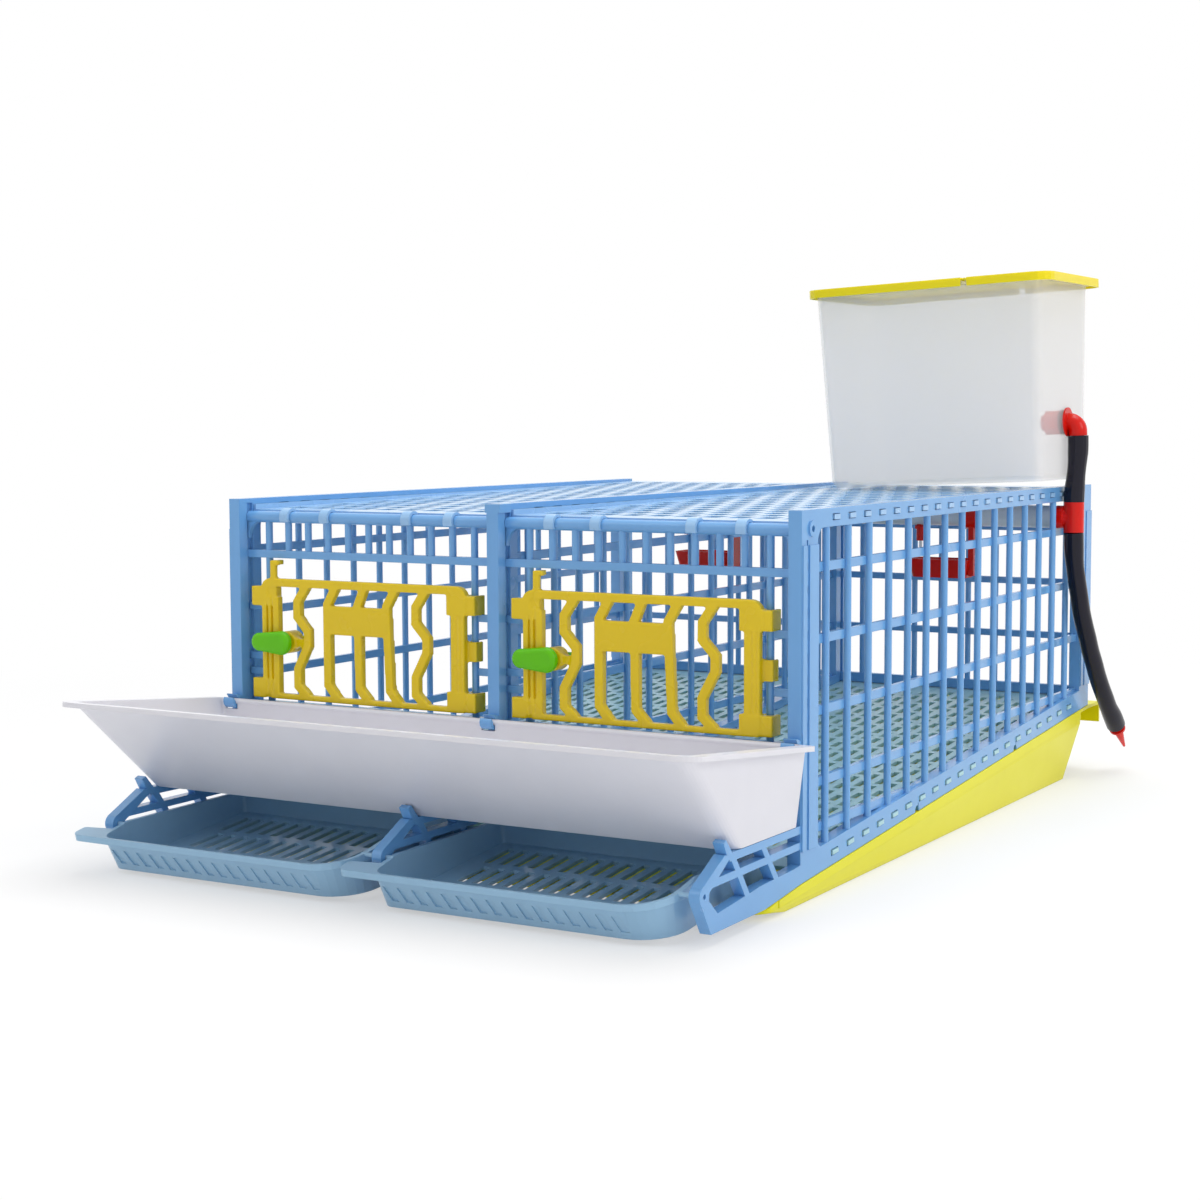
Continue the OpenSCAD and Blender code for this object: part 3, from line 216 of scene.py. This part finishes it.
# by the record's slots
finishes = {
    # the grilles: glossy, with light gathering in their thin bars
    "blue_pp": moulded("bluePolypropylene", "#70AAE0", "#65A0D8", rough=0.24, coat=0.35,
                       inside=0.1),
    # the trough: a cool white with a satin skin
    "white_pp": moulded("whitePolypropylene", "#E3E2E8", "#DBDAE1", rough=0.34, coat=0.1,
                        inside=0.1),
    # the droppings tray: lemon yellow, duller than the rest
    "tray_yellow": moulded("trayYellowPolypropylene", "#ECE60C", "#E4DD08", rough=0.34,
                           inside=0.1, shine=0.35),
    # the doors: a warmer yellow with sharp highlights on the bars
    "door_yellow": moulded("doorYellowPolypropylene", "#EACB08", "#E2C207", rough=0.26, coat=0.2,
                           inside=0.1, shine=0.35),
    # the latches: apple green, smooth
    "green_abs": moulded("greenAbs", "#68CC02", "#5CBC02", rough=0.22, inside=0.05, shine=0.3),
    # elbow, nut, tee, nipple bodies, cups and plug: deep red, smooth
    "red_pp": moulded("redPolypropylene", "#E01405", "#CE1004", rough=0.2, inside=0.05,
                      shine=0.3),
    # the water pipe and its cap: a plain grey white
    "pipe_white": moulded("extrudedPipe", "#DADCE2", "#D2D4DA", rough=0.35),
    "clear_pp": milkyTank("milkyTank"),
    "black_rubber": vinylHose("vinylHose"),
    "steel": turnedSteel("turnedSteel"),
}
# the lid's thin skirt glows where the tank below it is bright
lidYellow = moulded("lidYellowPolypropylene", "#F4E00C", "#ECD60A", rough=0.3, inside=0.35,
                    shine=0.35)
# egg trays: a paler batch than the upright grilles; floors: a paler, greener blue; roof: painted
# sheen
paleBlue = moulded("paleBluePolypropylene", "#9CC5E2", "#93BCDA", rough=0.3, coat=0.2, inside=0.1)
floorBlue = moulded("floorPolypropylene", "#ABD6DC", "#A1CCD4", rough=0.34, coat=0.1, inside=0.1)
# painted sheen: the roof's blue is lightened to stand in for the white it reflects at a grazing
# view
roofPaintedSheenBlue = moulded("roofPaintedSheenPolypropylene", "#98C3EC", "#8EBAE4", rough=0.26, coat=0.4, inside=0.1)
nodeFinishes = {
    "tank_lid": lidYellow,
    "lid_flap": lidYellow,
    "egg_tray_left": paleBlue,
    "egg_tray_right": paleBlue,
    "floor_panel_left": floorBlue,
    "floor_panel_right": floorBlue,
    "roof_panel_left": roofPaintedSheenBlue,
    "roof_panel_right": roofPaintedSheenBlue,
}
for part in frame["record"]["subparts"]:
    coats = nodes[part["node"]].data.materials
    coats.clear()
    coats.append(nodeFinishes.get(part["node"], finishes[part["material_slot"]]))
print("finishes given to", len(nodes), "nodes")


# the drain hose hangs from the tee, on the same route as its solid
hose = {
    "exit": (260, 232.5, 230),  # mm, under the tee
    "fall": [(0, 0, 0), (0, 1.5, -14.5), (0.5, 3.5, -29), (1.5, 6.5, -43), (2.5, 10.5, -57),
             (3, 15.5, -70.5), (4, 21.5, -84), (5, 28.5, -96.5), (5.5, 36, -109), (6.5, 44, -121),
             (7, 52.5, -133), (8, 61, -144.5), (9, 70.5, -155.5), (9.5, 80.5, -166),
             (10, 91.5, -175.5), (10, 102.5, -185)],  # mm from the exit
    "radius": 8,  # mm
    "swell": 0.8,  # mm wider where it is pushed over the tee and the plug
    "pushed": 2,  # points of the fall at either end that lie on them
    "steps": 4,  # from one point to the next
    "roundness": 8,
}


def smoothLine(points, steps):
    # a line through every point, with even bends between them
    line = []
    for i in range(len(points) - 1):
        a, b = points[max(i - 1, 0)], points[i]
        c, d = points[i + 1], points[min(i + 2, len(points) - 1)]
        for k in range(steps):
            t = k / steps
            line.append(0.5 * (2 * b + (c - a) * t + (2 * a - 5 * b + 4 * c - d) * t * t
                               + (3 * b - a - 3 * c + d) * t ** 3))
    return line + [points[-1]]


def hoseRadius(i):
    # at a point of the fall
    pushed = i < hose["pushed"] or i >= len(hose["fall"]) - hose["pushed"]
    return hose["radius"] + (hose["swell"] if pushed else 0)


def makeDrainHose():
    # the fourth number of each point is its radius
    knots = [Vector((*(Vector(hose["exit"]) + Vector(p)), hoseRadius(i)))
             for i, p in enumerate(hose["fall"])]
    line = smoothLine(knots, hose["steps"])
    data = bpy.data.curves.new("drainHoseSkin", "CURVE")
    data.dimensions = "3D"
    data.bevel_depth = hose["radius"] * mm
    data.bevel_resolution = hose["roundness"]
    data.use_fill_caps = True
    spline = data.splines.new("POLY")
    spline.points.add(len(line) - 1)
    for point, p in zip(spline.points, line):
        point.co = (*(p.xyz * mm), 1)
        point.radius = p.w / hose["radius"]
    spline.use_smooth = True
    skin = bpy.data.objects.new("drainHoseSkin", data)
    scene.collection.objects.link(skin)
    data.materials.append(finishes["black_rubber"])
    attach(skin, "cage")
    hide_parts("drain_hose")


makeDrainHose()


# doors and latches are built of overlapping closed shapes, and a remesh melts each into one
# moulding with soft edges; all in mm, across from the middle of a room, back from the posts'
# front and up from the ground
rooms = {"left": -122.5, "right": 122.5}  # their middles
roundSides = 40
softening = 2  # rounds


def addRings(shape, rings):
    # a closed skin through rings of as many points each
    loops = [[shape.verts.new([c * mm for c in point]) for point in ring] for ring in rings]
    shape.faces.new(loops[0])
    shape.faces.new(loops[-1][::-1])
    for a, b in zip(loops, loops[1:]):
        for i in range(len(a)):
            shape.faces.new((a[i - 1], b[i - 1], b[i], a[i]))


def addSlab(shape, outline, near, far):
    # the outline is in x and z
    addRings(shape, [[(x, y, z) for x, z in outline] for y in (near, far)])


def addBlock(shape, x0, x1, y0, y1, z0, z1):
    addSlab(shape, [(x0, z0), (x1, z0), (x1, z1), (x0, z1)], y0, y1)


def disc(x, y, radius):
    return [(x + radius * math.cos(math.tau * k / roundSides),
             y + radius * math.sin(math.tau * k / roundSides)) for k in range(roundSides)]


def addPost(shape, x, y, radius, low, high):
    # an upright round bar
    addRings(shape, [[(*point, z) for point in disc(x, y, radius)] for z in (low, high)])


def band(path, width):
    # the outline of a bar of even width along a bent line
    points = [Vector(p) for p in path]
    sides = ([], [])
    for i, p in enumerate(points):
        before = (p - points[i - 1]).normalized() if i else None
        after = (points[i + 1] - p).normalized() if i < len(points) - 1 else None
        before, after = before or after, after or before
        along = (before + after).normalized()
        across = Vector((-along.y, along.x)) * (width / 2 / along.dot(after))
        sides[0].append(tuple(p + across))
        sides[1].append(tuple(p - across))
    return sides[0] + sides[1][::-1]


def objectFrom(name, shape):
    bmesh.ops.recalc_face_normals(shape, faces=shape.faces)
    mesh = bpy.data.meshes.new(name)
    shape.to_mesh(mesh)
    shape.free()
    piece = bpy.data.objects.new(name, mesh)
    scene.collection.objects.link(piece)
    return piece


def melt(shape, voxel, holes=None):
    # the holes are cut, the overlapping shapes become one skin, and its edges soften
    piece = objectFrom("melting", shape)
    if holes is not None:
        cutter = objectFrom("holes", holes)
        cut = piece.modifiers.new("cut", "BOOLEAN")
        cut.operation = "DIFFERENCE"
        cut.solver = "EXACT"
        cut.use_self = True
        cut.object = cutter
    skin = piece.modifiers.new("skin", "REMESH")
    skin.mode = "VOXEL"
    skin.voxel_size = voxel * mm
    soften = piece.modifiers.new("soften", "SMOOTH")
    soften.factor = 0.5
    soften.iterations = softening
    solid = bpy.data.meshes.new_from_object(
        piece.evaluated_get(bpy.context.evaluated_depsgraph_get()))
    bpy.data.objects.remove(piece)
    if holes is not None:
        bpy.data.objects.remove(cutter)
    for face in solid.polygons:
        face.use_smooth = True
    return solid


def placeInRooms(moulding, node, suffix, finish):
    # a copy in each room, on the node that it stands for
    for side, middle in rooms.items():
        mesh = moulding.copy()
        mesh.transform(Matrix.Translation((middle * mm, postFront, 0)))
        mesh.materials.append(finishes[finish])
        piece = bpy.data.objects.new(node + "_" + side + suffix, mesh)
        scene.collection.objects.link(piece)
        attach(piece, node + "_" + side)
        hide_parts(node + "_" + side)
    bpy.data.meshes.remove(moulding)


door = {
    "front": 2,
    "back": 8,
    "low": 113.5,
    "high": 208.5,  # of the top rail, without the hook
    "guide": (98, 13, 3.3),  # place and depth of the hinge bore, and its radius
    "mouth": (2.3, 0.8),  # half the width of the bore's open side, and where it starts behind
    "latch": (-74, 158.5, 3.6),  # place, height and radius of the latch's hole
    "past": 4,  # how far the cuts for guide and latch run past the door
    "voxel": 0.8,  # grid of the remesh
}
doorFrame = {
    "uprights": (-95.6, 93.4),
    "foot": 190,  # of the uprights, inside the upper corner blocks
    "width": 6.4,
    "turn": 6,  # radius of the top corners
    "sill": (90, 2, 4.2),  # reach to both sides, middle above the door's foot, and width
    "ribs": [[(-98, -93.6), (-91.8, -89), (-87, -81.6)],
             [(82.6, 87.4), (89.4, 91.4), (93.2, 95)]],
    "web": 2.8,  # how far it lies behind the ribs' front
    "stile": (3, 194),  # foot above the door's foot, and top
}
doorBlocks = {
    "upper": 186.5,  # foot of the upper pair; the lower pair stands at the door's foot
    "height": 15.5,
    "lip": 0.4,  # how far the stepped part stays inside the full one at top and foot
    "back": 9.9,
    "hinge": (-19, -4, 6.2, 0.6),  # from the guide: left, step, right, and the step's depth
    "free": (-10, 2, 14.4, 0.7),
    "barrel": (-7, 6.2, 1, 17),  # from the guide: left, right, step, and its back
}
doorClip = {
    "rise": (-6.5, 8.5),  # from the latch's height
    "arm": (-10, 0),  # from the guide
    "cheek": (-4, 5),
    "front": 7,  # inside the stile, so that the two melt together
    "wall": 2.4,  # round the bore
}
doorBars = {
    "width": 6.8,
    "zigzag": [(5.2, 205), (-4.8, 191), (-5, 179), (5.2, 167.8), (5.2, 157), (-5, 138),
               (-5, 124.5), (4.4, 116.2)],  # from its own middle
    "zigzags": (-58.4, 54.8),
    "inner": [[(-25, 205), (-33.8, 190), (-33.8, 127), (-24.7, 116.2)],
              [(2, 205), (-5, 189), (-5, 184)],
              [(-4.2, 171), (-3.6, 126), (5.5, 116.2)],
              [(31.6, 205), (22.6, 190), (25.6, 126), (34, 116.2)]],
    "plate": (-36.4, 25.5, 166.6, 188.8),  # left, right, foot and top
}
doorHook = {
    "sides": (-89.2, -84.2),
    "top": 222.9,
    "head": 4,  # height of its head
    "under": (1, 0.4),  # how far its stem and its finger stay under the top
    "depth": 4.4,
    "reach": 14,  # depth of the finger over the head rail
    "beak": [(-82.6, -3.4), (-81.4, -4.4), (-81, -1.2), (-83, 0), (-87, 0)],  # from the top
}
latchBoss = {
    "radius": 8.8,
    "back": 14.5,
    "neck": [(3, 7), (12, 3.2), (20, 3.8)],  # from the latch: across, and half its height
    "step": 0.8,  # how far the neck lies behind the door's front
}


def cornerArc(x, z, towards):
    # the quarter turn from an upright into the top rail
    radius = doorFrame["turn"]
    return [(x + towards * radius * (1 - math.cos(a)), z - radius + radius * math.sin(a))
            for a in (math.radians(15 * k) for k in range(7))]


def addDoorFrame(shape):
    front, back, low = door["front"], door["back"], door["low"]
    left, right = doorFrame["uprights"]
    rail = door["high"] - doorFrame["width"] / 2
    path = ([(left, doorFrame["foot"])] + cornerArc(left, rail, 1)
            + cornerArc(right, rail, -1)[::-1] + [(right, doorFrame["foot"])])
    addSlab(shape, band(path, doorFrame["width"]), front, back)
    reach, rise, width = doorFrame["sill"]
    addSlab(shape, band([(-reach, low + rise), (reach, low + rise)], width), front, back)
    # stiles: ribs on a thin web
    rise, top = doorFrame["stile"]
    for ribs in doorFrame["ribs"]:
        addBlock(shape, ribs[0][0], ribs[-1][1], front + doorFrame["web"], back, low + rise, top)
        for x0, x1 in ribs:
            addBlock(shape, x0, x1, front, back, low + rise, top)


def addCornerBlock(shape, guide, sizes, z):
    left, middle, right, step = sizes
    front, back = door["front"], doorBlocks["back"]
    lip, top = doorBlocks["lip"], z + doorBlocks["height"]
    addBlock(shape, guide + left, guide + middle, front, back, z, top)
    addBlock(shape, guide + left, guide + right, front + step, back, z + lip, top - lip)


def addHinges(shape):
    # blocks at the four corners, those at the guide with a barrel round it, and a clip between
    guideX, guideY, bore = door["guide"]
    left, right, step, back = doorBlocks["barrel"]
    lip = doorBlocks["lip"]
    for z in (door["low"], doorBlocks["upper"]):
        addCornerBlock(shape, guideX, doorBlocks["hinge"], z)
        addBlock(shape, guideX + left, guideX + right, door["front"] + step, back,
                 z + lip, z + doorBlocks["height"] - lip)
        addCornerBlock(shape, -guideX, doorBlocks["free"], z)
    low, high = (door["latch"][1] + rise for rise in doorClip["rise"])
    for x0, x1 in (doorClip["arm"], doorClip["cheek"]):
        addBlock(shape, guideX + x0, guideX + x1, doorClip["front"], guideY, low, high)
    addPost(shape, guideX, guideY, bore + doorClip["wall"], low, high)


def addDoorBars(shape):
    front, back = door["front"], door["back"]
    paths = [[(middle + x, z) for x, z in doorBars["zigzag"]] for middle in doorBars["zigzags"]]
    for path in paths + doorBars["inner"]:
        addSlab(shape, band(path, doorBars["width"]), front, back)
    x0, x1, z0, z1 = doorBars["plate"]
    addBlock(shape, x0, x1, front, back, z0, z1)


def addHook(shape):
    # a hook finger steadies the door under the head rail
    front, deep = door["front"], door["front"] + doorHook["depth"]
    left, right = doorHook["sides"]
    top, head = doorHook["top"], doorHook["top"] - doorHook["head"]
    rail = door["high"] - doorFrame["width"] / 2
    stem, finger = doorHook["under"]
    addBlock(shape, left, right, front, deep, rail, top - stem)
    addSlab(shape, [(left, head), (right, head)] + [(x, top + z) for x, z in doorHook["beak"]],
            front, deep)
    addBlock(shape, left, right, front, doorHook["reach"], head, top - finger)


def addLatchBoss(shape):
    # the boss of the latch, and its neck to the nearest bar
    latchX, latchZ, _ = door["latch"]
    addSlab(shape, disc(latchX, latchZ, latchBoss["radius"]), door["front"], latchBoss["back"])
    neck = ([(latchX + x, latchZ - half) for x, half in latchBoss["neck"]]
            + [(latchX + x, latchZ + half) for x, half in latchBoss["neck"][::-1]])
    addSlab(shape, neck, door["front"] + latchBoss["step"], door["back"])


def doorHoles():
    guideX, guideY, bore = door["guide"]
    latchX, latchZ, shaft = door["latch"]
    half, start = door["mouth"]
    low, high = door["low"] - door["past"], door["high"]
    behind = doorBlocks["barrel"][3] + door["past"]
    holes = bmesh.new()
    addPost(holes, guideX, guideY, bore, low, high)
    addBlock(holes, guideX - half, guideX + half, guideY + start, behind, low, high)
    addSlab(holes, disc(latchX, latchZ, shaft), door["front"] - door["past"], behind)
    return holes


def makeDoors():
    shape = bmesh.new()
    for add in (addDoorFrame, addHinges, addDoorBars, addHook, addLatchBoss):
        add(shape)
    placeInRooms(melt(shape, door["voxel"], doorHoles()), "door", "_moulding", "door_yellow")


makeDoors()
print("doors moulded")


latch = {
    "hub": (-0.5, 9.6),  # the handle's two round ends: across from the shaft, and radius
    "tip": (-21.5, 7.3),
    "layers": [(-1.1, 1.3), (-1.9, 0.2), (-3, 0), (-5, 0.1), (-6.3, 0.8), (-7.1, 2),
               (-7.5, 3.8)],  # depth, and how far the outline draws in there
    "root": -3,  # where collar and shaft begin, inside the handle
    "shaft": (3, 19.4),  # radius and back
    "collar": (6, 1.7),
    "tongue": (-31, 7, 16.1, 20, 4),  # left, right, front, back and half its height
    "steps": 20,  # round each end
    "voxel": 0.5,  # grid of the remesh
}


def lozenge(inset):
    # the hull of the two round ends, each drawn in by the inset
    (x0, r0), (x1, r1) = latch["tip"], latch["hub"]
    lean = math.asin((r1 - r0) / (x1 - x0))
    ends = []
    for x, r, start, stop in ((x1, r1 - inset, lean - math.pi / 2, math.pi / 2 - lean),
                              (x0, r0 - inset, math.pi / 2 - lean, 1.5 * math.pi + lean)):
        turns = [start + (stop - start) * k / latch["steps"] for k in range(latch["steps"] + 1)]
        ends += [(x + r * math.cos(a), r * math.sin(a)) for a in turns]
    return ends


def makeLatches():
    latchX, latchZ, _ = door["latch"]
    shape = bmesh.new()
    addRings(shape, [[(x + latchX, y, z + latchZ) for x, z in lozenge(inset)]
                     for y, inset in latch["layers"]])
    for radius, back in (latch["shaft"], latch["collar"]):
        addSlab(shape, disc(latchX, latchZ, radius), latch["root"], back)
    x0, x1, y0, y1, half = latch["tongue"]
    addBlock(shape, latchX + x0, latchX + x1, y0, y1, latchZ - half, latchZ + half)
    placeInRooms(melt(shape, latch["voxel"]), "latch", "_handle", "green_abs")


makeLatches()
print("latches moulded")


# studio: a white sweep, a wide soft box overhead and two fills
studio = {
    "floor": 14.0,  # m
    "drop": 0.3 * mm,  # the sweep lies a hair below the cage's foot
    "glow": (0.5, 1.0),  # share of plain white that the eye sees near the cage and far off
    "fade": (0.45, 1.3),  # m from the cage's middle, where the one turns into the other
    "ambient": 0.6,  # light from all around on the cage, where the eye sees plain white
    "aim": (0, 0, 0.15),  # m, what the lamps face
    "lamps": [  # name, place, size in m, watts
        ("key", (-1.2, -2.2, 2.4), 1.8, 7),
        ("side", (2.6, -0.4, 1.6), 1.6, 17),
        ("top", (0.2, 0.3, 2.6), 2.2, 46),
    ],
}


def raysOfTheEye(tree):
    # 1 for what is seen straight, in a reflection or through the tank, and 0 for what lights
    path = addNode(tree, "ShaderNodeLightPath")
    seen = addNode(tree, "ShaderNodeMath", {"operation": "MAXIMUM"},
                   {0: (path, "Is Camera Ray"), 1: (path, "Is Glossy Ray")})
    return addNode(tree, "ShaderNodeMath", {"operation": "MAXIMUM"},
                   {0: (seen, 0), 1: (path, "Is Transmission Ray")})


def whiteSweep():
    # matt paper that takes the shadow, bleached into plain white away from the cage
    material, tree = newMaterial("whiteSweep")
    paper = addNode(tree, "ShaderNodeBsdfDiffuse", {"Color": linear("#F2F2F2")})
    glow = addNode(tree, "ShaderNodeEmission", {"Color": (1, 1, 1, 1), "Strength": 1.0})
    place = addNode(tree, "ShaderNodeTexCoord")
    reach = addNode(tree, "ShaderNodeVectorMath", {"operation": "LENGTH"},
                    {0: (place, "Object")})
    fade = addNode(tree, "ShaderNodeMapRange",
                   {"From Min": studio["fade"][0], "From Max": studio["fade"][1],
                    "To Min": studio["glow"][0], "To Max": studio["glow"][1]},
                   {"Value": (reach, "Value")})
    share = addNode(tree, "ShaderNodeMath", {"operation": "MULTIPLY"},
                    {0: (raysOfTheEye(tree), 0), 1: (fade, "Result")})
    mix = addNode(tree, "ShaderNodeMixShader", None,
                  {0: (share, 0), 1: (paper, "BSDF"), 2: (glow, "Emission")})
    addNode(tree, "ShaderNodeOutputMaterial", None, {"Surface": (mix, "Shader")})
    return material


def makeSweep():
    mesh = bpy.data.meshes.new("floor")
    half = studio["floor"] / 2
    mesh.from_pydata([(-half, -half, 0), (half, -half, 0), (half, half, 0), (-half, half, 0)],
                     [], [(0, 1, 2, 3)])
    mesh.materials.append(whiteSweep())
    floor = bpy.data.objects.new("floor", mesh)
    floor.location.z = -studio["drop"]
    scene.collection.objects.link(floor)


def makeSky():
    world = bpy.data.worlds.new("studioWorld")
    world.use_nodes = True
    scene.world = world
    tree = world.node_tree
    tree.nodes.clear()
    level = addNode(tree, "ShaderNodeMapRange", {"To Min": studio["ambient"], "To Max": 1.0},
                    {"Value": (raysOfTheEye(tree), 0)})
    sky = addNode(tree, "ShaderNodeBackground", {"Color": (1, 1, 1, 1)},
                  {"Strength": (level, "Result")})
    addNode(tree, "ShaderNodeOutputWorld", None, {"Surface": (sky, "Background")})


def makeLamps():
    for name, place, size, watts in studio["lamps"]:
        data = bpy.data.lights.new(name, "AREA")
        data.shape = "DISK"
        data.size = size
        data.energy = watts
        lamp = bpy.data.objects.new(name, data)
        lamp.location = place
        aim = Vector(studio["aim"]) - Vector(place)
        lamp.rotation_mode = "QUATERNION"
        lamp.rotation_quaternion = aim.to_track_quat("-Z", "Y")
        scene.collection.objects.link(lamp)


makeSweep()
makeSky()
makeLamps()
scene.view_settings.view_transform = "Standard"
print("studio lit")
